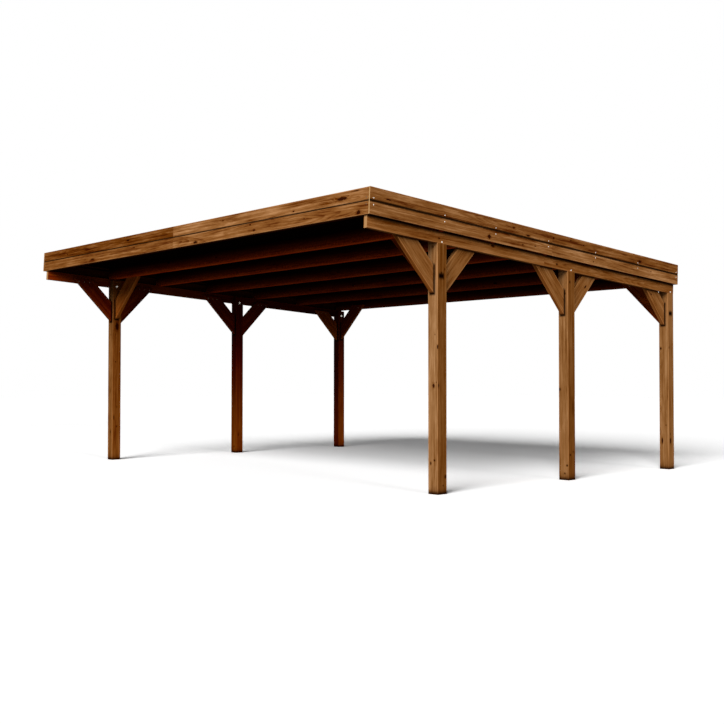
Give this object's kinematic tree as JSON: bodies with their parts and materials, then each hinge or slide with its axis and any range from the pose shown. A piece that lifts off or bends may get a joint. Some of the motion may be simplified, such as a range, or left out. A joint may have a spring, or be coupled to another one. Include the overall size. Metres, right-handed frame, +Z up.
{
  "type": "double carport",
  "caption": "Open timber carport for two cars: posts and braced beams carry rafters and a flat, slightly falling roof with a board fascia.",
  "frame": {"origin": "on the ground, under the centre of the whole structure", "axes": "+X along the front from left to right, +Y from the front to the rear, +Z up"},
  "size_m": [6.04, 5.0954, 2.682],
  "materials": {
    "stained_timber": "brown-stained planed softwood, satin",
    "fascia_board": "brown-stained planed softwood boards, satin",
    "roof_deck": "dark-stained roof boards, matt",
    "roof_felt": "black mineral-faced roofing felt, matt",
    "galvanised_steel": "bright zinc-plated screws, bolts, nuts and washers"
  },
  "bodies": {
    "root": {"beam_front_left": "stained_timber", "beam_front_right": "stained_timber", "beam_rear_left": "stained_timber", "beam_rear_right": "stained_timber", "cross_brace_front_left": "stained_timber", "cross_brace_front_right": "stained_timber", "cross_brace_rear_left": "stained_timber", "cross_brace_rear_right": "stained_timber", "fascia_front_lower": "fascia_board", "fascia_front_upper": "fascia_board", "fascia_left_lower": "fascia_board", "fascia_left_upper": "fascia_board", "fascia_rear_lower": "fascia_board", "fascia_rear_upper": "fascia_board", "fascia_right_lower": "fascia_board", "fascia_right_upper": "fascia_board", "knee_brace_front_left_aft": "stained_timber", "knee_brace_front_left_fore": "stained_timber", "knee_brace_front_right_aft": "stained_timber", "knee_brace_front_right_fore": "stained_timber", "knee_brace_middle_left_aft": "stained_timber", "knee_brace_middle_left_fore": "stained_timber", "knee_brace_middle_right_aft": "stained_timber", "knee_brace_middle_right_fore": "stained_timber", "knee_brace_rear_left_fore": "stained_timber", "knee_brace_rear_right_fore": "stained_timber", "post_front_left": "stained_timber", "post_front_right": "stained_timber", "post_middle_left": "stained_timber", "post_middle_right": "stained_timber", "post_rear_left": "stained_timber", "post_rear_right": "stained_timber", "rafter_1": "stained_timber", "rafter_2": "stained_timber", "rafter_3": "stained_timber", "rafter_4": "stained_timber", "rafter_5": "stained_timber", "rafter_6": "stained_timber", "rafter_7": "stained_timber", "roof_deck_front": "roof_deck", "roof_deck_rear": "roof_deck", "roof_felt": "roof_felt"}
  },
  "joints": []
}
